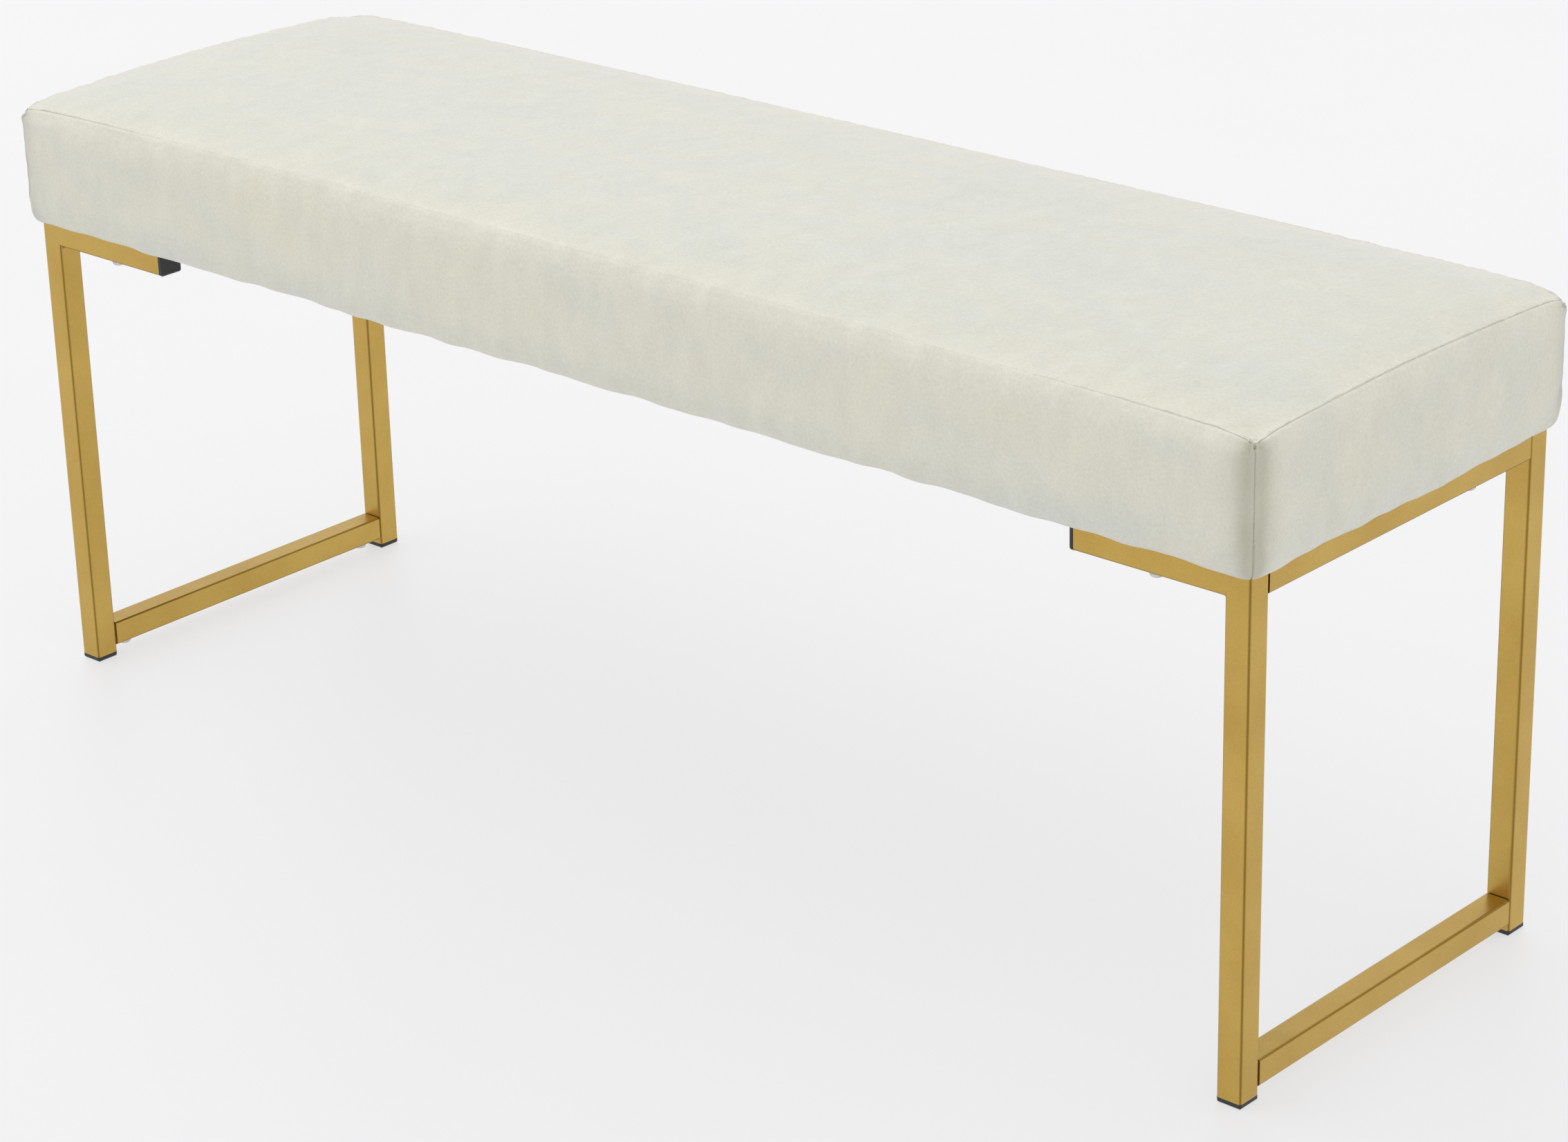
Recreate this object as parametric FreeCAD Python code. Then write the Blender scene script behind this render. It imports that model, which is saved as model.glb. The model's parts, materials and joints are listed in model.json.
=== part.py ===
import FreeCAD, Part
import math
import os

# Upholstered bench: a box cushion on two end frames of square steel tube.
# Millimetres. X runs along the bench, Y runs from front to back and Z is up.
# The origin lies on the floor under the middle of the bench.

# Steel frame
frame_length = 1180.0
frame_depth = 338.0
frame_height = 380.0
tube_side = 20.0
tube_wall = 1.2
tube_corner = 2.2
arm_length = 140.0
weld_radius = 3.0
weld_overlap = 0.6

# Top rails and floor stretchers, which slide over spigots welded to the legs
stretcher_rise = 9.0
rail_joint_gap = 0.4
stretcher_joint_gap = 0.9
spigot_length = 32.0
spigot_clearance = 0.4
stretcher_bolt_setback = 16.0

# Plastic plugs in the open tube ends
plug_flange = 4.0
plug_flange_edge = 1.3
plug_core_wall = 1.8
plug_core_clearance = 1.3
plug_insert = 16.0
plug_fin_clearance = 0.1
plug_fin_height = 0.9
plug_fin_pitch = 5.0
plug_fin_count = 2

# Bolts and tee nuts
screw_diameter = 6.0
screw_head_diameter = 10.4
screw_head_height = 5.2
screw_head_taper = 1.5
bolt_hole_clearance = 0.6
thread_clearance = 0.2
arm_bolt_setback = 80.0
rail_bolt_setback = 60.0
seat_bolt_bite = 12.8
stretcher_bolt_bite = 12.0
tee_nut_flange_side = 17.0
tee_nut_flange_height = 1.4
tee_nut_barrel_diameter = 8.0
tee_nut_barrel_length = 9.0
tee_nut_clearance = 0.15

# Seat board and the cloth under it
board_thickness = 12.0
board_setback = 1.0
board_corner = 10.0
dust_cover_thickness = 0.6
dust_cover_clearance = 3.0
dust_cover_corner = 6.0
cloth_window_clearance = 1.5

# Cushion
seat_overhang = 10.0
boxing_height = 97.0
crown_height = 9.0
crown_ridge_width = 120.0
crown_power = 3
crown_steps = (0.0, 0.15, 0.45, 1.0)
plan_corner = 20.0
side_draw = 2.0
boxing_bulge = 1.5
bottom_tuck = 9.0
bottom_round_height = 10.0
seam_tuck = 6.0
seam_round_height = 9.0
velvet_round_angles = (0.0, 45.0, 90.0)
foam_round_angles = (0.0, 90.0)
velvet_thickness = 1.6
velvet_turn_under = 50.0
foam_clearance = 0.3

# Values that follow from the sizes above
half_length = frame_length / 2
half_depth = frame_depth / 2
tube_half = tube_side / 2
tube_bore = tube_side - 2 * tube_wall
leg_x = half_length - tube_half
leg_y = half_depth - tube_half
arm_z = frame_height - tube_half
stretcher_z = stretcher_rise + tube_half
board_bottom = frame_height + velvet_thickness
board_top = board_bottom + board_thickness
bolt_hole_radius = (screw_diameter + bolt_hole_clearance) / 2
thread_radius = (screw_diameter + thread_clearance) / 2
cloth_window = tee_nut_barrel_diameter + 2 * cloth_window_clearance
ends = (("left", -1), ("right", 1))
sides = (("front", -1), ("back", 1))
UP = FreeCAD.Vector(0, 0, 1)


def vec(x, y, z=0.0):
    return FreeCAD.Vector(x, y, z)


def arc(start, middle, end):
    return Part.Arc(start, middle, end).toShape()


def rounded_outline(length, depth, corner, draw=0.0, z=0.0):
    """Rounded rectangle about the Z axis. Its long sides are drawn in by draw at their middles."""
    hx = length / 2
    hy = depth / 2
    bend = corner * (1 - math.sqrt(0.5))
    edges = []
    for sx, sy in ((1, -1), (1, 1), (-1, 1), (-1, -1)):
        along_x = vec(sx * (hx - corner), sy * hy, z)
        along_y = vec(sx * hx, sy * (hy - corner), z)
        knee = vec(sx * (hx - bend), sy * (hy - bend), z)
        if sx * sy < 0:
            edges.append(arc(along_x, knee, along_y))
            edges.append(Part.makeLine(along_y, vec(sx * hx, -sy * (hy - corner), z)))
        else:
            edges.append(arc(along_y, knee, along_x))
            far = vec(-along_x.x, along_x.y, z)
            middle = vec(0, sy * (hy - draw), z)
            edges.append(arc(along_x, middle, far) if draw else Part.makeLine(along_x, far))
    return Part.Wire(edges)


def rounded_bar(length, depth, corner, z_low, z_high):
    outline = rounded_outline(length, depth, corner, z=z_low)
    return Part.Face(outline).extrude(vec(0, 0, z_high - z_low))


def square_bar(side, z_low, z_high):
    return Part.makeBox(side, side, z_high - z_low, vec(-side / 2, -side / 2, z_low))


def square_tube(length):
    outer = rounded_bar(tube_side, tube_side, tube_corner, 0, length)
    return outer.cut(square_bar(tube_bore, 0, length))


def turned(shape, axis, angle, place):
    copy = shape.copy()
    copy.rotate(vec(0, 0, 0), axis, angle)
    copy.translate(place)
    return copy


def round_bar(radius, z_low, z_high, x=0.0, y=0.0):
    return Part.makeCylinder(radius, z_high - z_low, vec(x, y, z_low), UP)


def arm_bolt_place(sx, sy):
    return sx * (half_length - arm_bolt_setback), sy * leg_y


def rail_bolt_place(sx):
    return sx * leg_x, half_depth - tube_side - rail_bolt_setback


def seat_bolt_places():
    places = [arm_bolt_place(sx, sy) for _, sx in ends for _, sy in sides]
    return places + [rail_bolt_place(sx) for _, sx in ends]


def stretcher_bolt_place(sx, sy):
    return sx * leg_x, sy * (half_depth - tube_side - stretcher_bolt_setback)


# Legs: a post and a short arm, mitred and welded into one piece
def mitre_wedge(sx, sy, over):
    """Half of the corner block, above or below the mitre. It removes the other tube's end."""
    inner = vec(sx * (half_length - 2 * tube_side), 0, frame_height - 2 * tube_side)
    outer = vec(sx * (half_length + tube_side), 0, frame_height + tube_side)
    third = vec(inner.x, 0, outer.z) if over else vec(outer.x, 0, inner.z)
    wedge = Part.Face(Part.makePolygon([inner, outer, third, inner]))
    wedge.translate(vec(0, sy * leg_y - tube_side, 0))
    return wedge.extrude(vec(0, 2 * tube_side, 0))


def corner_weld(sx, sy):
    """Hollow fillet of weld metal in the corner between post and arm."""
    x = sx * (half_length - tube_side)
    z = frame_height - tube_side
    width = tube_side - 2 * tube_corner
    root = vec(x + sx * weld_overlap, 0, z + weld_overlap)
    low = vec(x + sx * weld_overlap, 0, z - weld_radius)
    post_toe = vec(x, 0, z - weld_radius)
    arm_toe = vec(x - sx * weld_radius, 0, z)
    high = vec(x - sx * weld_radius, 0, z + weld_overlap)
    bend = weld_radius * (1 - math.sqrt(0.5))
    hollow = arc(post_toe, vec(x - sx * bend, 0, z - bend), arm_toe)
    lines = [Part.makeLine(root, low), Part.makeLine(low, post_toe), hollow]
    lines += [Part.makeLine(arm_toe, high), Part.makeLine(high, root)]
    weld = Part.Face(Part.Wire(lines))
    weld.translate(vec(0, sy * leg_y - width / 2, 0))
    return weld.extrude(vec(0, width, 0))


def leg(sx, sy):
    post = square_tube(frame_height - plug_flange)
    post.translate(vec(sx * leg_x, sy * leg_y, plug_flange))
    arm = turned(square_tube(arm_length), vec(0, 1, 0), -90 * sx, vec(sx * half_length, sy * leg_y, arm_z))
    post = post.cut(mitre_wedge(sx, sy, True))
    arm = arm.cut(mitre_wedge(sx, sy, False))
    piece = post.fuse(arm).fuse(corner_weld(sx, sy)).removeSplitter()
    x, y = arm_bolt_place(sx, sy)
    return piece.cut(round_bar(bolt_hole_radius, frame_height - 2 * tube_side, board_bottom, x, y))


# Rails: square tubes from leg to leg, over the spigots
def cross_tube(sx, z, joint_gap):
    length = frame_depth - 2 * (tube_side + joint_gap)
    return turned(square_tube(length), vec(1, 0, 0), -90, vec(sx * leg_x, -length / 2, z))


def top_rail(sx):
    x, y = rail_bolt_place(sx)
    hole = round_bar(bolt_hole_radius, frame_height - 2 * tube_side, board_bottom, x, y)
    return cross_tube(sx, arm_z, rail_joint_gap).cut(hole)


def lower_stretcher(sx):
    piece = cross_tube(sx, stretcher_z, stretcher_joint_gap)
    for _, sy in sides:
        x, y = stretcher_bolt_place(sx, sy)
        piece = piece.cut(round_bar(bolt_hole_radius, 0, stretcher_z, x, y))
    return piece


def spigot(sx, sy, z):
    bar = square_bar(tube_bore - 2 * spigot_clearance, 0, spigot_length)
    return turned(bar, vec(1, 0, 0), 90 * sy, vec(sx * leg_x, sy * (half_depth - tube_side), z))


def rail_spigots():
    return Part.makeCompound([spigot(sx, sy, arm_z) for _, sx in ends for _, sy in sides])


def stretcher_spigots():
    bars = []
    for _, sx in ends:
        for _, sy in sides:
            x, y = stretcher_bolt_place(sx, sy)
            tapped = round_bar(thread_radius, 0, stretcher_z + tube_half, x, y)
            bars.append(spigot(sx, sy, stretcher_z).cut(tapped))
    return Part.makeCompound(bars)


# Plugs: a flange outside the tube and a finned hollow insert inside it
def plug():
    """Plug that closes a tube standing on its flange. The flange lies below Z = 0."""
    flange = square_bar(tube_side, -plug_flange, 0)
    piece = flange.makeChamfer(plug_flange_edge, [e for e in flange.Edges if e.BoundBox.ZMin < 0])
    core = tube_bore - 2 * plug_core_clearance
    piece = piece.fuse(square_bar(core, 0, plug_insert))
    for step in range(1, plug_fin_count + 1):
        fin_top = step * plug_fin_pitch
        fin = square_bar(tube_bore - 2 * plug_fin_clearance, fin_top - plug_fin_height, fin_top)
        piece = piece.fuse(fin)
    well = square_bar(core - 2 * plug_core_wall, 0, plug_insert)
    return piece.cut(well).removeSplitter()


def foot_plug(sx, sy):
    return turned(plug(), UP, 0, vec(sx * leg_x, sy * leg_y, plug_flange))


def arm_plug(sx, sy):
    x = sx * (half_length - arm_length)
    return turned(plug(), vec(0, 1, 0), 90 * sx, vec(x, sy * leg_y, arm_z))


# Fasteners
def machine_screw(length):
    """Screw with a low round head, which hangs below Z = 0."""
    shank = screw_diameter / 2
    wide = screw_head_diameter / 2
    crown = vec(wide - screw_head_taper, 0, -screw_head_height)
    half = [vec(0, 0, -screw_head_height), crown, vec(wide, 0), vec(shank, 0), vec(shank, 0, length),
            vec(0, 0, length), vec(0, 0, -screw_head_height)]
    return Part.Face(Part.makePolygon(half)).revolve(vec(0, 0, 0), UP, 360)


def seat_bolts():
    bolt = machine_screw(board_bottom + seat_bolt_bite - (frame_height - tube_side))
    places = [vec(x, y, frame_height - tube_side) for x, y in seat_bolt_places()]
    return Part.makeCompound([turned(bolt, UP, 0, place) for place in places])


def stretcher_bolts():
    bolt = machine_screw(tube_wall + spigot_clearance + stretcher_bolt_bite)
    bolts = []
    for _, sx in ends:
        for _, sy in sides:
            x, y = stretcher_bolt_place(sx, sy)
            bolts.append(turned(bolt, UP, 0, vec(x, y, stretcher_rise)))
    return Part.makeCompound(bolts)


def tee_nuts():
    """Nuts pressed into the board from above, each with its square flange under the foam."""
    flange = square_bar(tee_nut_flange_side, 0, tee_nut_flange_height)
    nut = flange.fuse(round_bar(tee_nut_barrel_diameter / 2, -tee_nut_barrel_length, 0))
    nut = nut.cut(round_bar(thread_radius, -tee_nut_barrel_length, tee_nut_flange_height))
    return Part.makeCompound([turned(nut, UP, 0, vec(x, y, board_top)) for x, y in seat_bolt_places()])


# Seat board and dust cover
def seat_board():
    length = frame_length - 2 * board_setback
    depth = frame_depth - 2 * board_setback
    board = rounded_bar(length, depth, board_corner, board_bottom, board_top)
    radius = tee_nut_barrel_diameter / 2 + tee_nut_clearance
    for x, y in seat_bolt_places():
        board = board.cut(round_bar(radius, board_bottom, board_top, x, y))
    return board


def dust_cover():
    """Thin cloth inside the frame, stapled to the board over the raw edge of the velvet."""
    length = frame_length - 2 * (tube_side + dust_cover_clearance)
    depth = frame_depth - 2 * (tube_side + dust_cover_clearance)
    return rounded_bar(length, depth, dust_cover_corner, frame_height - dust_cover_thickness, frame_height)


# Cushion: a crowned form whose sides swell between the bottom edge and the top seam
def cushion_outline(inset, z):
    length = frame_length + 2 * (seat_overhang - inset)
    depth = frame_depth + 2 * (seat_overhang - inset)
    corner = max(plan_corner - inset / 2, plan_corner / 2)
    return rounded_outline(length, depth, corner, side_draw, z)


def rounded_edge_rings(tuck, height, shrink, angles, edge_z, direction):
    """Rings round a quarter-round edge. The first ring is the edge's own, at edge_z."""
    rings = []
    for angle in angles:
        inset = boxing_bulge + tuck * (1 - math.sin(math.radians(angle))) + shrink
        climb = height * (1 - math.cos(math.radians(angle)))
        rings.append(cushion_outline(inset, edge_z + direction * climb))
    return rings


def cushion_form(shrink, angles):
    """The cushion's outer form, taken in by shrink on every face, with its edges rounded in steps."""
    low = frame_height + shrink
    seam = frame_height + boxing_height - shrink
    bottom_edge = rounded_edge_rings(bottom_tuck, bottom_round_height, shrink, angles, low, 1)
    seam_edge = rounded_edge_rings(seam_tuck, seam_round_height, shrink, angles, seam, -1)
    waist = cushion_outline(shrink, (low + bottom_round_height + seam - seam_round_height) / 2)
    seam_inset = boxing_bulge + seam_tuck + shrink
    ridge_inset = half_depth + seat_overhang - crown_ridge_width / 2
    crown = []
    for step in crown_steps:
        inset = seam_inset + (ridge_inset - seam_inset) * step
        rise = crown_height * (1 - (1 - step) ** crown_power)
        crown.append(cushion_outline(inset, seam + rise))
    sides = seam_edge + [waist] + bottom_edge[::-1]
    return Part.makeLoft(crown[::-1] + sides[1:], True, True)


def seat_cover():
    cover = cushion_form(0, velvet_round_angles).cut(cushion_form(velvet_thickness, velvet_round_angles))
    length = frame_length + 2 * (seat_overhang - velvet_turn_under)
    depth = frame_depth + 2 * (seat_overhang - velvet_turn_under)
    opening = rounded_bar(length, depth, plan_corner / 2, frame_height - velvet_thickness, board_top)
    cover = cover.cut(opening)
    window = square_bar(cloth_window, frame_height - velvet_thickness, board_top)
    for x, y in seat_bolt_places():
        cover = cover.cut(turned(window, UP, 0, vec(x, y, 0)))
    return cover


def seat_foam():
    foam = cushion_form(velvet_thickness + foam_clearance, foam_round_angles)
    length = frame_length - 2 * (board_setback - foam_clearance)
    depth = frame_depth - 2 * (board_setback - foam_clearance)
    foam = foam.cut(rounded_bar(length, depth, board_corner, frame_height, board_top))
    side = tee_nut_flange_side + 2 * foam_clearance
    pocket = square_bar(side, board_top, board_top + tee_nut_flange_height + foam_clearance)
    for x, y in seat_bolt_places():
        foam = foam.cut(turned(pocket, UP, 0, vec(x, y, 0)))
    return foam


def export(name, shape):
    shape.exportStep("parts/" + name + ".step")
    state = "valid" if shape.isValid() else "NOT VALID"
    print(name, len(shape.Solids), "solids", round(shape.Volume / 1000, 2), "cm3", state)


def main():
    os.makedirs("parts", exist_ok=True)
    export("seat_board", seat_board())
    export("seat_foam", seat_foam())
    export("seat_cover", seat_cover())
    export("dust_cover", dust_cover())
    for end, sx in ends:
        for side, sy in sides:
            export("leg_" + side + "_" + end, leg(sx, sy))
            export("foot_plug_" + side + "_" + end, foot_plug(sx, sy))
            export("arm_plug_" + side + "_" + end, arm_plug(sx, sy))
        export("top_rail_" + end, top_rail(sx))
        export("lower_stretcher_" + end, lower_stretcher(sx))
    export("rail_spigots", rail_spigots())
    export("stretcher_spigots", stretcher_spigots())
    export("seat_bolts", seat_bolts())
    export("tee_nuts", tee_nuts())
    export("stretcher_bolts", stretcher_bolts())


main()
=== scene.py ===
import json
import math

import bmesh
import bpy
import numpy as np
from mathutils import Matrix, Vector, noise


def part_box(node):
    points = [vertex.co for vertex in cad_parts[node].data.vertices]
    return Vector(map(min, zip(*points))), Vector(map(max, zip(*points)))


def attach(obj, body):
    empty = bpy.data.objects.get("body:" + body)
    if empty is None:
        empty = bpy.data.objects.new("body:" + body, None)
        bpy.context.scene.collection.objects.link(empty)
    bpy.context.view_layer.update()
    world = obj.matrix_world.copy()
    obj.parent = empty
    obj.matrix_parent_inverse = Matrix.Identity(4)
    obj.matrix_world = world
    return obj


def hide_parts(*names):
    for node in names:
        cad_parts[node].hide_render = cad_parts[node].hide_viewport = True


# Upholstered bench: velvet box cushion on two end frames of gold square tube.
# Metres, in the frame's own axes: X along the bench, Y from front to back, Z up.

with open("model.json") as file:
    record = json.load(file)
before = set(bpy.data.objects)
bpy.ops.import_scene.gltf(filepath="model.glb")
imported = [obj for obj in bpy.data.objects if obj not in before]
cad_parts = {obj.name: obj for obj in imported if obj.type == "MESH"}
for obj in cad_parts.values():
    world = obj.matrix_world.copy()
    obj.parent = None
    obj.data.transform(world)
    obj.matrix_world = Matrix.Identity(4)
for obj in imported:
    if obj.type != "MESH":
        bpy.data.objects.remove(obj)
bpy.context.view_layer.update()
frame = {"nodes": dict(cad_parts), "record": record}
nodes = frame["nodes"]
seatLow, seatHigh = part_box("seat_cover")
mm = 0.001
weldDistance = 0.01 * mm
outOfReach = 99.0   # mm, a distance at which a seam has no effect
print("frame loaded,", len(nodes), "nodes")


# Small helpers

def linear(hexColour):  # sRGB hex to the linear values that a shader takes
    parts = [int(hexColour[i:i + 2], 16) / 255 for i in (1, 3, 5)]
    return [p / 12.92 if p <= 0.04045 else ((p + 0.055) / 1.055) ** 2.4 for p in parts] + [1.0]


def addNode(tree, kind, settings=None, inputs=None):  # settings by name, inputs by name or number
    node = tree.nodes.new(kind)
    for name, value in (settings or {}).items():
        setattr(node, name, value)
    for name, value in (inputs or {}).items():
        socket = node.inputs[name]
        if isinstance(value, bpy.types.NodeSocket):
            tree.links.new(value, socket)
        else:
            socket.default_value = value
    return node


def meshPiece(name, points, faces):
    data = bpy.data.meshes.new(name)
    data.from_pydata([tuple(p) for p in points], [], [tuple(f) for f in faces])
    data.polygons.foreach_set("use_smooth", [True] * len(data.polygons))
    data.update()
    piece = bpy.data.objects.new(name, data)
    bpy.context.scene.collection.objects.link(piece)
    return piece


def applied(piece):  # leaves the piece as a plain mesh
    bpy.context.view_layer.update()
    graph = bpy.context.evaluated_depsgraph_get()
    data = bpy.data.meshes.new_from_object(piece.evaluated_get(graph), preserve_all_data_layers=True,
                                           depsgraph=graph)
    piece.modifiers.clear()
    piece.data = data
    return piece


def reworked(piece, work):  # runs one mesh operation on the piece
    mesh = bmesh.new()
    mesh.from_mesh(piece.data)
    work(mesh)
    mesh.to_mesh(piece.data)
    mesh.free()
    return piece


def welded(piece):
    return reworked(piece, lambda mesh: bmesh.ops.remove_doubles(mesh, verts=mesh.verts, dist=weldDistance))


def facingOut(piece):
    return reworked(piece, lambda mesh: bmesh.ops.recalc_face_normals(mesh, faces=mesh.faces))


def coordinates(data):
    found = np.empty(len(data.vertices) * 3)
    data.vertices.foreach_get("co", found)
    return found.reshape(-1, 3)


def setCoordinates(data, points):
    data.vertices.foreach_set("co", np.asarray(points, float).ravel())
    data.update()


def normals(data):
    found = np.empty(len(data.vertices) * 3)
    data.vertex_normals.foreach_get("vector", found)
    return found.reshape(-1, 3)


def floatAttribute(data, name, values=None):
    if values is None:
        found = np.empty(len(data.vertices))
        data.attributes[name].data.foreach_get("value", found)
        return found
    layer = data.attributes.get(name) or data.attributes.new(name, "FLOAT", "POINT")
    layer.data.foreach_set("value", np.asarray(values, np.float32))


def noiseAt(points, size, offset):  # one value in about -1 to 1 for each point; size in millimetres
    shift = Vector(offset)
    scale = 1 / (size * mm)
    return np.array([noise.noise(Vector(p) * scale + shift) for p in points])


def smoothStep(value, low, high):
    t = np.clip((value - low) / (high - low), 0, 1)
    return t * t * (3 - 2 * t)


# Materials

def newMaterial(name):
    material = bpy.data.materials.new(name)
    material.use_nodes = True
    tree = material.node_tree
    return material, tree, tree.nodes["Principled BSDF"]


def setShader(shader, **values):
    for name, value in values.items():
        shader.inputs[name.replace("_", " ")].default_value = value


def mottled(tree, place, size, low, high, detail=3.0):  # noise with features of that size in millimetres
    field = addNode(tree, "ShaderNodeTexNoise", None,
                    {"Vector": place, "Scale": 1 / (size * mm), "Detail": detail, "Roughness": 0.55})
    # The noise keeps to about 0.3 to 0.7, which is spread over the whole range
    return addNode(tree, "ShaderNodeMapRange", None,
                   {"Value": field.outputs["Fac"], "From Min": 0.3, "From Max": 0.7,
                    "To Min": low, "To Max": high}).outputs["Result"]


def blendColours(tree, factor, first, second, mode="MIX"):
    mix = addNode(tree, "ShaderNodeMix", {"data_type": "RGBA", "blend_type": mode},
                  {0: factor, 6: first, 7: second})
    return mix.outputs[2]


def roughen(tree, shader, layers):  # each layer is a height and its depth in millimetres, coarse first
    normal = None
    for height, depth in layers:
        inputs = {"Height": height, "Distance": depth * mm, "Strength": 1.0}
        if normal:
            inputs["Normal"] = normal
        normal = addNode(tree, "ShaderNodeBump", None, inputs).outputs["Normal"]
    tree.links.new(normal, shader.inputs["Normal"])


velvetLook = {
    "warm": "#DDDAC9",        # the pile's warmer tone, in random patches and on the sides
    "cool": "#D5D6CC",        # its cooler tone, in random patches, and a painted cool tint on the top and low on the sides for how light falls there
    "rim": "#E2E0D2",         # painted sheen: a paler band along the top seam
    "seamShade": "#8F8D78",   # painted shade down in the seams, beside the upright seams and on the top at each corner
    "patch": 70.0,            # mm, hand-sized marks in the nap
    "brush": 16.0,            # mm, strokes left by brushing, longer down the sides
    "fleck": 2.2,             # mm, tufts; the real pile is about 0.3 mm and would not show
    "streak": 1.5,            # mm across, and streakLength times as long down the sides
    "streakLength": 6.0,
    "dent": 28.0,             # mm, soft unevenness of the pile
    "sheen": 0.72,
}


def velvetMaterial():
    # Short cut-pile polyester velvet: matt, darkest face on and paler along its rims, with painted shade,
    # sheen and tint from the mesh's attributes
    material, tree, shader = newMaterial("cutPileVelvet")
    place = addNode(tree, "ShaderNodeTexCoord").outputs["Object"]
    drawn = addNode(tree, "ShaderNodeMapping", None, {"Vector": place, "Scale": (0.6, 1.0, 1.0)})
    warped = addNode(tree, "ShaderNodeTexNoise", None,
                     {"Vector": drawn.outputs[0], "Scale": 1 / (velvetLook["patch"] * mm), "Detail": 5.0,
                      "Roughness": 0.6, "Distortion": 1.0})
    marks = addNode(tree, "ShaderNodeMapRange", None,
                    {"Value": warped.outputs["Fac"], "From Min": 0.34, "From Max": 0.66, "To Max": 0.65})
    # painted cool tint on the top and low on the sides, for how light falls there
    paintedTint = addNode(tree, "ShaderNodeAttribute", {"attribute_name": "paintedCoolTint"}).outputs["Fac"]
    nap = addNode(tree, "ShaderNodeMath", {"use_clamp": True}, {0: marks.outputs["Result"], 1: paintedTint})
    colour = blendColours(tree, nap.outputs[0], linear(velvetLook["warm"]), linear(velvetLook["cool"]))
    # painted sheen: a paler band along the top seam
    rim = addNode(tree, "ShaderNodeAttribute", {"attribute_name": "paintedRimSheen"}).outputs["Fac"]
    colour = blendColours(tree, rim, colour, linear(velvetLook["rim"]))
    stroke = addNode(tree, "ShaderNodeMapping", None, {"Vector": place, "Scale": (1.0, 0.7, 0.45)})
    brushed = mottled(tree, stroke.outputs[0], velvetLook["brush"], 0.965, 1.02, 5.0)
    colour = blendColours(tree, 1.0, colour, brushed, "MULTIPLY")
    fleck = mottled(tree, place, velvetLook["fleck"], 0.94, 1.03)
    colour = blendColours(tree, 1.0, colour, fleck, "MULTIPLY")
    # painted shade in the seams, beside the upright seams and on the top at each corner
    seam = addNode(tree, "ShaderNodeAttribute", {"attribute_name": "seamShade"}).outputs["Fac"]
    colour = blendColours(tree, seam, colour, linear(velvetLook["seamShade"]))
    tree.links.new(colour, shader.inputs["Base Color"])
    hanging = addNode(tree, "ShaderNodeMapping", None,
                      {"Vector": place, "Scale": (1.0, 1.0, 1 / velvetLook["streakLength"])})
    streak = mottled(tree, hanging.outputs[0], velvetLook["streak"], 0.0, 1.0, 2.0)
    dents = mottled(tree, place, velvetLook["dent"], 0.0, 1.0)
    tufts = mottled(tree, place, velvetLook["fleck"], 0.0, 1.0, 4.0)
    roughen(tree, shader, [(dents, 0.5), (brushed, 3.0), (streak, 0.10), (tufts, 0.12)])
    setShader(shader, Roughness=0.92, Sheen_Weight=velvetLook["sheen"], Sheen_Roughness=0.4,
              Sheen_Tint=linear("#F8F9FA"), Specular_IOR_Level=0.15)
    return material


goldLook = {
    "body": "#CBAA5C",
    "deep": "#C19F52",
    "corner": "#75571F",      # painted shade, drawn darker on the tube's round corners
    "drift": 60.0,            # mm, slow change between body and deep
    "glossPatch": 35.0,       # mm
    "peel": 1.6,              # mm, the coat's fine orange peel
    "flake": 0.7,             # mm, metallic flakes; the real ones are near 0.05 mm
    "roughness": 0.33,
}


def goldMaterial():
    # Gold metallic powder coat on steel tube: a satin metal with a soft wide highlight
    material, tree, shader = newMaterial("goldPowderCoat")
    place = addNode(tree, "ShaderNodeTexCoord").outputs["Object"]
    drift = mottled(tree, place, goldLook["drift"], 0.0, 1.0)
    colour = blendColours(tree, drift, linear(goldLook["body"]), linear(goldLook["deep"]))
    cells = addNode(tree, "ShaderNodeTexVoronoi", None,
                    {"Vector": place, "Scale": 1 / (goldLook["flake"] * mm)})
    flake = addNode(tree, "ShaderNodeMapRange", None,
                    {"Value": cells.outputs["Color"], "To Min": 0.93, "To Max": 1.05})
    colour = blendColours(tree, 1.0, colour, flake.outputs["Result"], "MULTIPLY")
    # On flat walls the largest part of the normal is 1; it is smaller on round corners, where shade is
    # painted
    normal = addNode(tree, "ShaderNodeTexCoord").outputs["Normal"]
    upright = addNode(tree, "ShaderNodeVectorMath", {"operation": "ABSOLUTE"}, {0: normal}).outputs[0]
    parts = addNode(tree, "ShaderNodeSeparateXYZ", None, {"Vector": upright}).outputs
    largest = addNode(tree, "ShaderNodeMath", {"operation": "MAXIMUM"}, {0: parts["X"], 1: parts["Y"]})
    largest = addNode(tree, "ShaderNodeMath", {"operation": "MAXIMUM"},
                      {0: largest.outputs[0], 1: parts["Z"]})
    corner = addNode(tree, "ShaderNodeMapRange", None,
                     {"Value": largest.outputs[0], "From Min": 0.985, "From Max": 0.82, "To Max": 0.75})
    # painted shade on the round corners
    colour = blendColours(tree, corner.outputs["Result"], colour, linear(goldLook["corner"]))
    tree.links.new(colour, shader.inputs["Base Color"])
    gloss = mottled(tree, place, goldLook["glossPatch"], goldLook["roughness"] - 0.03,
                    goldLook["roughness"] + 0.04)
    tree.links.new(gloss, shader.inputs["Roughness"])
    peel = mottled(tree, place, goldLook["peel"], 0.0, 1.0, 2.0)
    roughen(tree, shader, [(peel, 0.012)])
    setShader(shader, Metallic=1.0)
    return material


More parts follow.
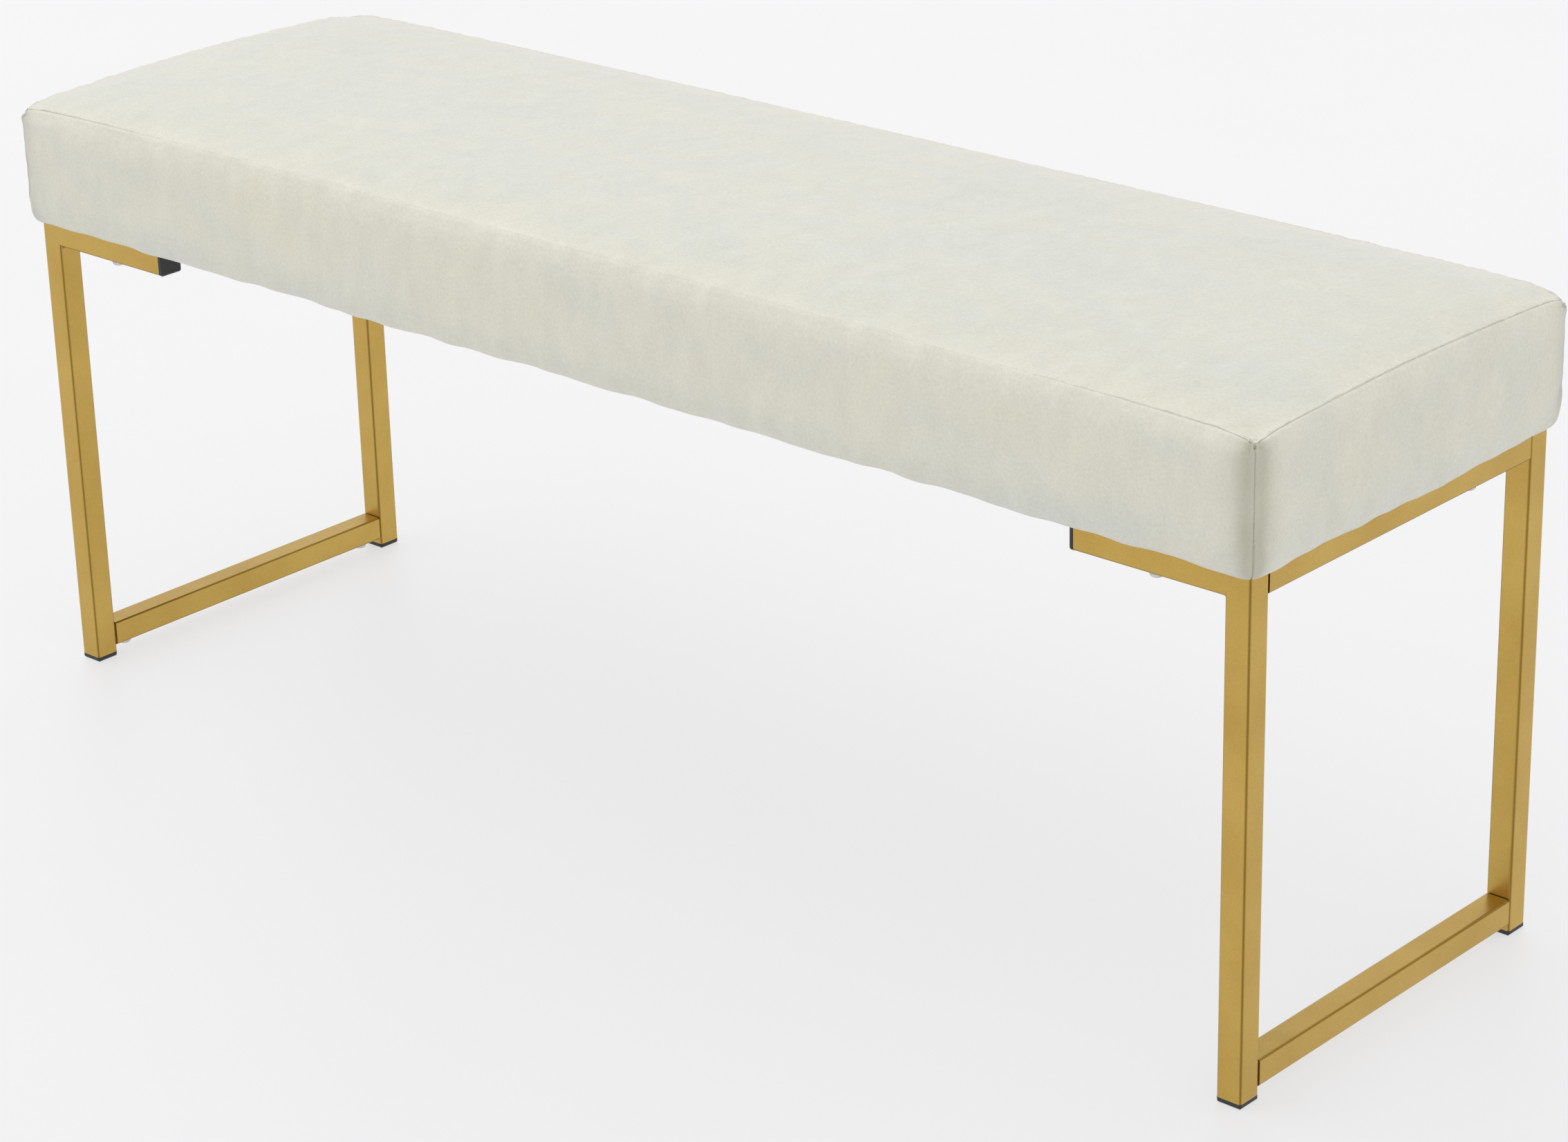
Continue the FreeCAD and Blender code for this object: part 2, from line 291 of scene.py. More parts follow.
def plasticMaterial():
    # Moulded black polyethylene: spark-eroded grain, drawn coarser than the real 0.1 mm
    material, tree, shader = newMaterial("mouldedBlackPlastic")
    place = addNode(tree, "ShaderNodeTexCoord").outputs["Object"]
    wear = mottled(tree, place, 8.0, 0.0, 1.0)
    colour = blendColours(tree, wear, linear("#1B1C1E"), linear("#26272A"))
    tree.links.new(colour, shader.inputs["Base Color"])
    tree.links.new(mottled(tree, place, 4.0, 0.42, 0.55), shader.inputs["Roughness"])
    roughen(tree, shader, [(mottled(tree, place, 0.7, 0.0, 1.0), 0.03)])
    setShader(shader, IOR=1.5)
    return material


def platedMaterial(name, bright, dull, roughness, spangle):
    # Plated steel: small cells of slightly different brightness, coarser than the plating's crystals
    material, tree, shader = newMaterial(name)
    place = addNode(tree, "ShaderNodeTexCoord").outputs["Object"]
    cells = addNode(tree, "ShaderNodeTexVoronoi", None, {"Vector": place, "Scale": 1 / (spangle * mm)})
    grey = addNode(tree, "ShaderNodeSeparateColor", None, {"Color": cells.outputs["Color"]}).outputs[0]
    tree.links.new(blendColours(tree, grey, linear(bright), linear(dull)), shader.inputs["Base Color"])
    tree.links.new(mottled(tree, place, 2.0, roughness * 0.8, roughness * 1.25), shader.inputs["Roughness"])
    roughen(tree, shader, [(mottled(tree, place, 0.9, 0.0, 1.0), 0.01)])
    setShader(shader, Metallic=1.0)
    return material


def plywoodMaterial(bottom, top, plies=7):
    # Rotary-cut birch plywood: long grain on its faces, stripes of plies at its edge
    material, tree, shader = newMaterial("birchPlywood")
    place = addNode(tree, "ShaderNodeTexCoord").outputs["Object"]
    grain = addNode(tree, "ShaderNodeMapping", None, {"Vector": place, "Scale": (0.06, 1.0, 1.0)})
    streak = mottled(tree, grain.outputs[0], 5.0, 0.0, 1.0, 6.0)
    colour = blendColours(tree, streak, linear("#D9BE93"), linear("#BE9A69"))
    height = addNode(tree, "ShaderNodeSeparateXYZ", None, {"Vector": place}).outputs["Z"]
    level = addNode(tree, "ShaderNodeMapRange", None,
                    {"Value": height, "From Min": bottom, "From Max": top, "To Max": float(plies)})
    odd = addNode(tree, "ShaderNodeMath", {"operation": "PINGPONG"}, {0: level.outputs["Result"], 1: 1.0})
    colour = blendColours(tree, odd.outputs[0], colour, linear("#A98252"))
    tree.links.new(colour, shader.inputs["Base Color"])
    roughen(tree, shader, [(streak, 0.05)])
    setShader(shader, Roughness=0.7)
    return material


def foamMaterial():
    # Open-cell polyurethane foam: cut cells, drawn a little coarser than the real millimetre
    material, tree, shader = newMaterial("openCellFoam")
    place = addNode(tree, "ShaderNodeTexCoord").outputs["Object"]
    cells = addNode(tree, "ShaderNodeTexVoronoi", {"feature": "DISTANCE_TO_EDGE"},
                    {"Vector": place, "Scale": 1 / (1.6 * mm)})
    tone = mottled(tree, place, 40.0, 0.0, 1.0)
    colour = blendColours(tree, tone, linear("#EFEBD9"), linear("#E6DEC2"))
    tree.links.new(colour, shader.inputs["Base Color"])
    roughen(tree, shader, [(cells.outputs["Distance"], 0.4)])
    setShader(shader, Roughness=0.95, Specular_IOR_Level=0.2)
    return material


def dustClothMaterial():
    # Spun-bonded polypropylene: matt black fibres, welded in a grid of small points
    material, tree, shader = newMaterial("spunBondedCloth")
    place = addNode(tree, "ShaderNodeTexCoord").outputs["Object"]
    turned = addNode(tree, "ShaderNodeMapping", None, {"Vector": place, "Rotation": (0, 0, math.radians(45))})
    dots = addNode(tree, "ShaderNodeTexVoronoi", None,
                   {"Vector": turned.outputs[0], "Scale": 1 / (2.6 * mm), "Randomness": 0.0})
    fibres = mottled(tree, place, 3.0, 0.0, 1.0, 8.0)
    colour = blendColours(tree, fibres, linear("#17181A"), linear("#2B2C2F"))
    tree.links.new(colour, shader.inputs["Base Color"])
    roughen(tree, shader, [(dots.outputs["Distance"], 0.15), (fibres, 0.05)])
    setShader(shader, Roughness=0.85, Specular_IOR_Level=0.25)
    return material


def threadMaterial():
    # Spun polyester sewing thread; its half-millimetre twist is drawn several times coarser
    material, tree, shader = newMaterial("spunThread")
    place = addNode(tree, "ShaderNodeTexCoord").outputs["Object"]
    strands = addNode(tree, "ShaderNodeTexWave", {"bands_direction": "DIAGONAL"},
                      {"Vector": place, "Scale": 1 / (1.2 * mm) / math.tau, "Distortion": 0.5})
    colour = blendColours(tree, strands.outputs["Fac"], linear("#D8D7C6"), linear("#BDBBA6"))
    tree.links.new(colour, shader.inputs["Base Color"])
    roughen(tree, shader, [(strands.outputs["Fac"], 0.08)])
    setShader(shader, Roughness=0.75, Sheen_Weight=0.3)
    return material


boardLow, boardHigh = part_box("seat_board")
materials = {
    "velvet": velvetMaterial(),
    "gold_tube": goldMaterial(),
    "black_plastic": plasticMaterial(),
    "nickel_screw": platedMaterial("brightNickel", "#D9D7D0", "#C4C2BA", 0.2, 1.2),
    "zinc_nut": platedMaterial("zincPlate", "#AEB2B5", "#8E9396", 0.42, 2.5),
    "plywood": plywoodMaterial(boardLow.z, boardHigh.z),
    "foam": foamMaterial(),
    "dust_cloth": dustClothMaterial(),
    "thread": threadMaterial(),
}
print("materials made")


# Cushion: one wrapped grid from the crown over the seam, down the boxing and under the board

cushion = {  # millimetres
    "gridStep": 7.0,
    "edgeLines": (0.0, 1.2, 3.0, 5.5, 9.0, 14.0, 20.0),   # finer lines beside every seam
    "seamHeight": 97.0,        # above the frame
    "seamTuck": 4.5,           # how far the seam lies inside the boxing's edge
    "seamRoundHeight": 9.0,
    "seamRoundAngles": (0, 15, 32, 50, 70, 90),   # degrees from the seam out to the boxing
    "seamCorner": 6.0,         # plan radius of the seam at a corner
    "sideCorner": 15.0,        # and of the boxing
    "cornerTaper": 1.1,        # how much of the lower edge's inset that radius loses
    # inset and height above the frame; the lower edge hangs past the board and hides the tube's top
    "lowerEdge": ((0.0, 24.0), (0.2, 17.5), (0.6, 12.0), (1.1, 8.0), (1.9, 4.6), (3.0, 1.7), (4.6, -0.7),
                  (6.7, -2.2), (9.0, -2.6), (10.3, -0.7)),
    "turnUnder": (15.0, 21.0, 29.0, 39.0, 50.0),   # insets of the hem's rings under the board
    "turnUnderCorner": 12.0,
    "crownReach": 125.0,
    "cornerDip": 4.0,          # the corners of the top are drawn down
    "cornerDipReach": 30.0,
    "endDip": 3.0,             # and the long seams bow up between them
    "swell": 3.0,              # the panels start this much smaller between their seams
    "swellReach": 45.0,        # and fully so from this far off a seam or corner
    "velvetThickness": 1.6,
    "foamClearance": 0.3,
    "recessCorner": 10.0,      # plan radius of the foam's recess for the board
}
halfLength, halfDepth = seatHigh.x / mm, seatHigh.y / mm
seatBottom = seatLow.z / mm
seamLevel = seatBottom + cushion["seamHeight"]
crownHeight = seatHigh.z / mm - seamLevel
cornerZone = cushion["edgeLines"][-1]
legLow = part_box("leg_front_left")[0]
halfFrame = (-legLow.x, -legLow.y)


def gridLines(half):
    edge = half - np.array(cushion["edgeLines"][:-1])
    inner = half - cornerZone
    count = round(2 * inner / cushion["gridStep"])
    return np.concatenate([-edge, np.linspace(-inner, inner, count + 1), edge[::-1]])


def fitted(x, y, insetX, insetY, corner):
    # Takes points of the plain rectangle to one with round corners, where corner regions turn as fans
    ax = (np.abs(x) - (halfLength - cornerZone)) / cornerZone
    ay = (np.abs(y) - (halfDepth - cornerZone)) / cornerZone
    straightX = halfLength - insetX - corner
    straightY = halfDepth - insetY - corner
    px = np.where(ax <= 0, np.abs(x) / (halfLength - cornerZone) * straightX, straightX + ax * corner)
    py = np.where(ay <= 0, np.abs(y) / (halfDepth - cornerZone) * straightY, straightY + ay * corner)
    both = (ax > 0) & (ay > 0)
    reach = np.maximum(ax, ay)
    share = np.minimum(ax, ay) / np.where(both, reach, 1)
    angle = np.where(ax >= ay, share, 2 - share) * math.pi / 4
    px = np.where(both, straightX + reach * corner * np.cos(angle), px)
    py = np.where(both, straightY + reach * corner * np.sin(angle), py)
    return np.sign(x) * px, np.sign(y) * py


linesX, linesY = gridLines(halfLength), gridLines(halfDepth)
lastX, lastY = len(linesX) - 1, len(linesY) - 1
rim = [(i, 0) for i in range(lastX)] + [(lastX, j) for j in range(lastY)]
rim += [(i, lastY) for i in range(lastX, 0, -1)] + [(0, j) for j in range(lastY, 0, -1)]
rimX = np.array([linesX[i] for i, j in rim])
rimY = np.array([linesY[j] for i, j in rim])
cornerColumns = [rim.index(place) for place in ((0, 0), (lastX, 0), (lastX, lastY), (0, lastY))]


def cornerGap(x, y):  # plan distance to the nearest corner
    return np.hypot(halfLength - np.abs(x), halfDepth - np.abs(y))


def dip(x, y, z):  # how far the corners and ends are drawn down, most at the seam
    corner = cushion["cornerDip"] * np.exp(-cornerGap(x, y) / cushion["cornerDipReach"])
    bow = cushion["endDip"] * np.abs(x / halfLength) ** 4 * smoothStep(np.abs(y) / halfDepth, 0.0, 0.9)
    return (corner + bow) * smoothStep(z, seatBottom + 10, seamLevel)


def profile(shrink):
    # Inset, height and corner radius of each ring from the seam down, and on to the lower edge
    c = cushion
    rings = []
    for angle in c["seamRoundAngles"]:
        share, fall = math.sin(math.radians(angle)), 1 - math.cos(math.radians(angle))
        rings.append((c["seamTuck"] * (1 - share), seamLevel - c["seamRoundHeight"] * fall,
                      c["seamCorner"] + (c["sideCorner"] - c["seamCorner"]) * share))
    high, low = rings[-1][1], seatBottom + c["lowerEdge"][0][1]
    count = round((high - low) / c["gridStep"])
    rings += [(0.0, high + (low - high) * k / count, c["sideCorner"]) for k in range(1, count)]
    rings += [(inset, seatBottom + height, c["sideCorner"] - c["cornerTaper"] * inset)
              for inset, height in c["lowerEdge"]]
    lowest = seatBottom + shrink if shrink else -math.inf   # only the velvet hangs past the board
    return [(inset + shrink, min(max(z, lowest), seamLevel - shrink), corner) for inset, z, corner in rings]


def crownedTop(shrink, slack):
    # The top panel's grid: its rim is the seam, its middle the crown
    gx, gy = np.meshgrid(linesX, linesY, indexing="ij")
    gx, gy = gx.ravel(), gy.ravel()
    inset, z, corner = profile(shrink)[0]
    px, py = fitted(gx, gy, inset, inset, corner)
    gaps = halfLength - np.abs(gx), halfDepth - np.abs(gy)
    rise = np.ones_like(gx)
    for gap in gaps:
        rise *= 1 - (1 - np.clip(gap / cushion["crownReach"], 0, 1)) ** 3
    pz = z + crownHeight * rise - slack * smoothStep(np.minimum(*gaps), 0, cushion["swellReach"])
    return np.stack([px, py, pz - dip(gx, gy, z)], 1)


def wrapFaces(first, rings):
    faces = []
    for i in range(lastX):
        for j in range(lastY):
            a = first + i * (lastY + 1) + j
            faces.append((a, a + lastY + 1, a + lastY + 2, a + 1))
    columns = len(rim)
    for upper, lower in zip(rings[:-1], rings[1:]):
        for k in range(columns):
            n = (k + 1) % columns
            faces.append((upper[k], lower[k], lower[n], upper[n]))
    return faces


def wrappedForm(shrink, slack, turns):
    # Crown, boxing and lower edge, then the further rings in turns, as inset, height and corner;
    # shrink is the same all round, slack takes in only what lies between the seams
    points = [crownedTop(shrink, slack)]
    rings = [[i * (lastY + 1) + j for i, j in rim]]
    total = len(points[0])
    away = smoothStep(cornerGap(rimX, rimY), 0, cushion["swellReach"])
    for inset, z, corner in profile(shrink)[1:] + turns:
        loose = smoothStep(z, seatBottom + 4, seatBottom + 30) * smoothStep(seamLevel - z, 0, 20)
        taken = inset + slack * loose * away
        px, py = fitted(rimX, rimY, taken, taken, corner)
        points.append(np.stack([px, py, np.full_like(px, z) - dip(rimX, rimY, z)], 1))
        rings.append(list(range(total, total + len(rim))))
        total += len(rim)
    return np.concatenate(points), wrapFaces(0, rings), rings


def velvetBase():
    turns = [(inset, seatBottom, cushion["turnUnderCorner"]) for inset in cushion["turnUnder"]]
    points, faces, rings = wrappedForm(0.0, cushion["swell"], turns)
    piece = meshPiece("velvet_cover", points * mm, faces)
    # Distances to the seams, kept on the mesh and carried through the subdivision
    topGap = np.zeros(len(points))
    gx, gy = np.meshgrid(linesX, linesY, indexing="ij")
    topGap[:gx.size] = np.minimum(halfLength - np.abs(gx), halfDepth - np.abs(gy)).ravel()
    upright = np.full(len(points), outOfReach)
    along = np.minimum(halfLength - np.abs(rimX) + halfDepth - np.abs(rimY), outOfReach)
    run = np.zeros(len(rim))
    for upper, lower in zip(rings[:-1], rings[1:]):
        run = run + np.linalg.norm(points[lower] - points[upper], axis=1)
        topGap[lower] = run
    for ring in rings:
        upright[ring] = along
    floatAttribute(piece.data, "topGap", topGap)
    floatAttribute(piece.data, "uprightGap", upright)
    return piece, rings


velvetCloth = {
    "frames": 20,
    "quality": 5,
    "pressure": 4.0,           # from the foam, outwards
    "mass": 0.25,
    "stretch": 25.0,
    "shear": 10.0,
    "bend": 1.5,
    "growth": 0.006,           # the panels are cut this share larger than the form
    "mostSwell": 1.6,          # the movement is capped at this many times the cushion's swell
    "stapledRings": 9,         # the last rings, from the lower edge to the hem's end, stay in place
}


def swellCloth(piece, heldVertices):
    # Pressed-out cloth: the panels swell between the seams, which stay where they are sewn
    c = velvetCloth
    group = piece.vertex_groups.new(name="sewn")
    group.add(heldVertices, 1.0, "REPLACE")
    before = coordinates(piece.data)
    cloth = piece.modifiers.new("velvet", "CLOTH")
    cloth.settings.quality = c["quality"]
    cloth.settings.mass = c["mass"]
    cloth.settings.tension_stiffness = cloth.settings.compression_stiffness = c["stretch"]
    cloth.settings.shear_stiffness = c["shear"]
    cloth.settings.bending_stiffness = c["bend"]
    cloth.settings.use_pressure = True
    cloth.settings.uniform_pressure_force = c["pressure"]
    cloth.settings.shrink_min = -c["growth"]
    cloth.settings.effector_weights.gravity = 0
    cloth.settings.vertex_group_mass = "sewn"
    cloth.collision_settings.use_collision = False
    cloth.point_cache.frame_start, cloth.point_cache.frame_end = 1, c["frames"]
    for f in range(1, c["frames"] + 1):
        bpy.context.scene.frame_set(f)
    applied(piece)
    bpy.context.scene.frame_set(1)
    moved = coordinates(piece.data) - before
    length = np.maximum(np.linalg.norm(moved, axis=1), 1e-9)
    most = c["mostSwell"] * cushion["swell"] * mm
    setCoordinates(piece.data, before + moved * (most * np.tanh(length / most) / length)[:, None])
    print("cloth swelled by up to", round(float(length.max()) * 1000, 1), "mm before its cap")


def seamLines(piece, rings, coarseCount):
    # The seams as runs of vertices: subdivision keeps the first vertices and adds the edges' middles
    runs = [rings[0] + rings[0][:1]]
    bottom = len(profile(0.0))
    runs += [[ring[column] for ring in rings[:bottom]] for column in cornerColumns]
    edges = {tuple(sorted(e.vertices)): coarseCount + e.index for e in piece.data.edges}
    lines = []
    for run in runs:
        line = [run[0]]
        for a, b in zip(run[:-1], run[1:]):
            line += [edges[tuple(sorted((a, b)))], b]
        lines.append(line)
    return lines


seamDetail = {  # millimetres
    "groove": 0.9,             # depth of the seam's valley
    "grooveWidth": 1.1,
    "ridge": 0.4,              # the seam allowance under the velvet
    "ridgePlace": 3.4,
    "ridgeWidth": 1.9,
    "uprightDepth": 1.2,       # the upright seams are this many times as deep
    "middleDepth": 0.3,        # and the long seams only this deep in their middle
    "pucker": 0.5,             # slanting puckers along the seam
    "puckerPitch": 8.0,
    "puckerPlace": 5.0,
    "puckerReach": 7.0,
    "dimple": 2.8,             # where three seams meet
    "dimpleReach": 13.0,
    "dimpleInset": 6.0,
    "edgeWave": 1.5,           # the lower edge, drawn in by each staple under the board
    "edgeWaveSizes": (26.0, 60.0),
    "undulation": 0.7,
    "undulationSize": 85.0,
    "wanderSize": 30.0,        # over which the puckers drift from their even pitch
    "strengthSize": 70.0,      # and grow stronger or weaker
}

seamShading = {  # shares of the painted seam shade, sheen and tint, and where they fall in millimetres
    "line": 0.36,
    "lineWidth": 0.9,
    "uprightLine": 0.5,
    "uprightLineWidth": 0.8,
    "shadeBand": 0.44,              # painted shade beside the upright seams, round the corners
    "bandPlace": 7.0,
    "bandWidth": 14.0,
    "patch": 0.8,              # share of the band's shade on the top, at each corner
    "patchPlace": 9.0,
    "patchWidth": 9.0,
    "rim": 0.65,               # painted sheen, a paler band along the top seam
    "sheenReach": 15.0,
    "topPaintedTint": 0.45,           # painted cool tint for how light falls on the top, and low on the sides
    "sidePaintedTint": 0.3,
}


def shadeVelvet(data, z, top, upright, onTop, onBoxing, strength, wander):
    # Painted shade, sheen and tint, as attributes that the velvet's material reads
    h = seamShading
    # painted shade: down in the seams, beside the upright seams and on the top at each corner
    line = h["line"] * strength * np.exp(-(top / h["lineWidth"]) ** 2)
    uprightLine = h["uprightLine"] * onBoxing * np.exp(-(upright / h["uprightLineWidth"]) ** 2)
    shadeBand = onBoxing * np.exp(-((upright - h["bandPlace"]) / h["bandWidth"]) ** 2) * (1 + 0.3 * wander)
    patch = h["patch"] * (z > seamLevel - 3) * np.exp(-((onTop - h["patchPlace"]) / h["patchWidth"]) ** 2)
    shade = np.maximum(np.maximum(line, uprightLine), h["shadeBand"] * np.maximum(shadeBand, patch))
    floatAttribute(data, "seamShade", shade)
    # painted sheen: a paler band along the top seam
    paintedRimSheen = np.clip(h["rim"] + 0.5 * wander, 0, 1) * np.exp(-(top / h["sheenReach"]) ** 2)
    floatAttribute(data, "paintedRimSheen", paintedRimSheen)
    # painted cool tint on the top and low on the sides
    paintedTint = np.where(z > seamLevel - 4, h["topPaintedTint"] * smoothStep(top, 8, 60),
                    h["sidePaintedTint"] * smoothStep(top, 60, 95))
    floatAttribute(data, "paintedCoolTint", paintedTint)


def sewSeams(piece):
    # Grooves, ridges and puckers beside the seams, and the slack of the cloth between them
    d, data = seamDetail, piece.data
    points, out = coordinates(data), normals(data)
    top, upright = floatAttribute(data, "topGap"), floatAttribute(data, "uprightGap")
    x, y, z = (points / mm).T
    gapX, gapY = halfLength - np.abs(x), halfDepth - np.abs(y)
    onBoxing = smoothStep(seamLevel - z, 2.0, 8.0)
    upright = np.where(top > cushion["seamHeight"] + 12, outOfReach, upright)
    side = np.where(gapX < gapY, y, x)
    wander = noiseAt(points, d["wanderSize"], (3, 1, 7))
    strength = 0.55 + 0.45 * noiseAt(points, d["strengthSize"], (9, 2, 4))
    # The long seams lie almost flat in their middle and are drawn in towards the corners
    crisp = d["middleDepth"] + (1 - d["middleDepth"]) * smoothStep(np.abs(x) / halfLength, 0.6, 0.97)
    crisp = np.where(gapY < gapX, crisp, 1.0)
    move = np.zeros(len(points))
    for gap, depth in ((top, crisp), (upright, d["uprightDepth"] * onBoxing)):
        valley = np.exp(-(gap / d["grooveWidth"]) ** 2)
        ridge = np.exp(-((gap - d["ridgePlace"]) / d["ridgeWidth"]) ** 2)
        move += depth * (d["ridge"] * ridge - d["groove"] * valley)
    phase = math.tau * ((side + 0.9 * top) / d["puckerPitch"] + 1.3 * wander)
    fade = np.exp(-((top - d["puckerPlace"]) / d["puckerReach"]) ** 2)
    move += d["pucker"] * strength * np.sin(phase) * fade
    onTop = np.hypot(gapX - d["dimpleInset"], gapY - d["dimpleInset"])
    dimple = np.where(z > seamLevel - 12, np.minimum(np.hypot(top, upright), onTop), outOfReach)
    move -= d["dimple"] * np.exp(-(dimple / d["dimpleReach"]) ** 2)
    slackness = noiseAt(points, d["undulationSize"], (5, 5, 1))
    move += d["undulation"] * slackness * smoothStep(np.minimum(top, upright), 3, 30)
    low = smoothStep(seatBottom + 26 - z, 0, 22) * smoothStep(9.5 - np.minimum(gapX, gapY), 0, 2.5)
    plan = points * (1, 1, 0)
    short, long = d["edgeWaveSizes"]
    gathers = noiseAt(plan, short, (1, 8, 3)) + 0.7 * noiseAt(plan, long, (4, 4, 4))
    move += d["edgeWave"] * gathers * low
    points += out * (move * mm)[:, None]
    # Where the frame bears, the velvet lies flat on the tubes
    overFrame = (np.abs(points[:, 0]) < halfFrame[0]) & (np.abs(points[:, 1]) < halfFrame[1])
    points[:, 2] = np.where(overFrame, np.maximum(points[:, 2], seatLow.z), points[:, 2])
    setCoordinates(data, points)
    shadeVelvet(data, z, top, upright, onTop, onBoxing, crisp * strength, wander)


def makeVelvet():
    piece, rings = velvetBase()
    coarseCount = len(piece.data.vertices)
    print("cushion grid:", len(piece.data.polygons), "faces")
    held = [v for ring in [rings[0]] + rings[-velvetCloth["stapledRings"]:] for v in ring]
    held += [ring[column] for ring in rings for column in cornerColumns]
    swellCloth(piece, held)
    lines = seamLines(piece, rings, coarseCount)
    finer = piece.modifiers.new("finer", "SUBSURF")
    finer.levels = finer.render_levels = 1
    applied(piece)
    sewSeams(piece)
    points, out = coordinates(piece.data), normals(piece.data)
    seams = [(points[line], out[line]) for line in lines]
    wall = piece.modifiers.new("wall", "SOLIDIFY")
    wall.thickness = cushion["velvetThickness"] * mm
    wall.offset = -1
    applied(piece)
    piece.data.materials.append(materials["velvet"])
    return piece, seams


velvetCover, seams = makeVelvet()
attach(velvetCover, "root")
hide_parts("seat_cover")
print("velvet cover:", len(velvetCover.data.polygons), "faces")


def makeFoam():
    # The block fills the cover and wraps the board's edge; its recess holds the board
    shrink = cushion["swell"] + cushion["velvetThickness"] + cushion["foamClearance"]
    inset, corner = halfLength - boardHigh.x / mm - cushion["foamClearance"], cushion["recessCorner"]
    roofHeight = boardHigh.z / mm
    turns = [(inset, seatBottom + shrink, corner), (inset, roofHeight, corner)]
    points, faces = wrappedForm(shrink, 0.0, turns)[:2]
    # The recess's roof is a grid like the top's, turned to face down
    gx, gy = np.meshgrid(linesX, linesY, indexing="ij")
    px, py = fitted(gx.ravel(), gy.ravel(), inset, inset, corner)
    roof = [tuple(reversed(f)) for f in wrapFaces(len(points), [])]
    points = np.concatenate([points, np.stack([px, py, np.full_like(px, roofHeight)], 1)])
    piece = welded(meshPiece("foam_block", points * mm, faces + roof))
    piece.data.materials.append(materials["foam"])
    return piece


foamBlock = makeFoam()
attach(foamBlock, "root")
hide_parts("seat_foam")
print("foam block:", len(foamBlock.data.polygons), "faces")


# Trees of geometry nodes

def newTree(name, sockets):  # sockets by name, each with its kind and value
    tree = bpy.data.node_groups.new(name, "GeometryNodeTree")
    tree.interface.new_socket("Geometry", in_out="INPUT", socket_type="NodeSocketGeometry")
    for socketName, (kind, value) in sockets.items():
        socket = tree.interface.new_socket(socketName, in_out="INPUT", socket_type="NodeSocket" + kind)
        if value is not None:
            socket.default_value = value
    tree.interface.new_socket("Geometry", in_out="OUTPUT", socket_type="NodeSocketGeometry")
    return tree, addNode(tree, "NodeGroupInput").outputs


def endTree(tree, instances, material):
    real = addNode(tree, "GeometryNodeRealizeInstances", None, {"Geometry": instances})
    finish = addNode(tree, "GeometryNodeSetMaterial", None,
                     {"Geometry": real.outputs["Geometry"], "Material": material})
    addNode(tree, "NodeGroupOutput", None, {"Geometry": finish.outputs["Geometry"]})


def alongTree():
    # Copies of one small piece, evenly along a line, turned with it and facing out of the surface
    tree, given = newTree("piecesAlongLine", {
        "Piece": ("Object", None), "Pitch": ("Float", 0.01), "Turn": ("Float", 0.0), "Uneven": ("Float", 0.0),
        "Seed": ("Int", 1), "Material": ("Material", None)})
    line = addNode(tree, "GeometryNodeMeshToCurve", None, {"Mesh": given["Geometry"]})
    even = addNode(tree, "GeometryNodeResampleCurve", {"mode": "LENGTH"},
                   {"Curve": line.outputs["Curve"], "Length": given["Pitch"]})
    tangent = addNode(tree, "GeometryNodeInputTangent").outputs["Tangent"]
    outward = addNode(tree, "GeometryNodeInputNamedAttribute", {"data_type": "FLOAT_VECTOR"},
                      {"Name": "outward"}).outputs["Attribute"]
    along = addNode(tree, "FunctionNodeAlignRotationToVector", {"axis": "X"}, {"Vector": tangent})
    facing = addNode(tree, "FunctionNodeAlignRotationToVector", {"axis": "Z", "pivot_axis": "X"},
                     {"Rotation": along.outputs[0], "Vector": outward})
    low = addNode(tree, "ShaderNodeMath", {"operation": "SUBTRACT"}, {0: given["Turn"], 1: given["Uneven"]})
    high = addNode(tree, "ShaderNodeMath", {"operation": "ADD"}, {0: given["Turn"], 1: given["Uneven"]})
    angle = addNode(tree, "FunctionNodeRandomValue", {"data_type": "FLOAT"},
                    {2: low.outputs[0], 3: high.outputs[0], "Seed": given["Seed"]})
    spin = addNode(tree, "FunctionNodeAxisAngleToRotation", None,
                   {"Axis": (0.0, 0.0, 1.0), "Angle": angle.outputs[1]})
    turned = addNode(tree, "FunctionNodeRotateRotation", {"rotation_space": "LOCAL"},
                     {"Rotation": facing.outputs[0], "Rotate By": spin.outputs[0]})
    model = addNode(tree, "GeometryNodeObjectInfo", None, {"Object": given["Piece"], "As Instance": True})
    copies = addNode(tree, "GeometryNodeInstanceOnPoints", None,
                     {"Points": even.outputs["Curve"], "Instance": model.outputs["Geometry"],
                      "Rotation": turned.outputs[0]})
    endTree(tree, copies.outputs["Instances"], given["Material"])
    return tree


def placesTree():
    # Copies of one piece at given points, each turned by its own chance angle, as screws end up
    tree, given = newTree("piecesAtPlaces", {
        "Piece": ("Object", None), "Seed": ("Int", 1), "Material": ("Material", None)})
    angle = addNode(tree, "FunctionNodeRandomValue", {"data_type": "FLOAT"},
                    {2: 0.0, 3: math.tau, "Seed": given["Seed"]})
    spin = addNode(tree, "FunctionNodeAxisAngleToRotation", None,
                   {"Axis": (0.0, 0.0, 1.0), "Angle": angle.outputs[1]})
    points = addNode(tree, "GeometryNodeMeshToPoints", None, {"Mesh": given["Geometry"]})
    model = addNode(tree, "GeometryNodeObjectInfo", None, {"Object": given["Piece"], "As Instance": True})
    copies = addNode(tree, "GeometryNodeInstanceOnPoints", None,
                     {"Points": points.outputs["Points"], "Instance": model.outputs["Geometry"],
                      "Rotation": spin.outputs[0]})
    endTree(tree, copies.outputs["Instances"], given["Material"])
    return tree


def grow(piece, tree, **values):  # sets the tree's inputs, keeps the plain mesh and drops the model
    modifier = piece.modifiers.new("grow", "NODES")
    modifier.node_group = tree
    for socket in tree.interface.items_tree:
        if socket.in_out == "INPUT" and socket.name in values:
            modifier[socket.identifier] = values[socket.name]
    applied(piece)
    bpy.data.objects.remove(values["Piece"])
    return piece


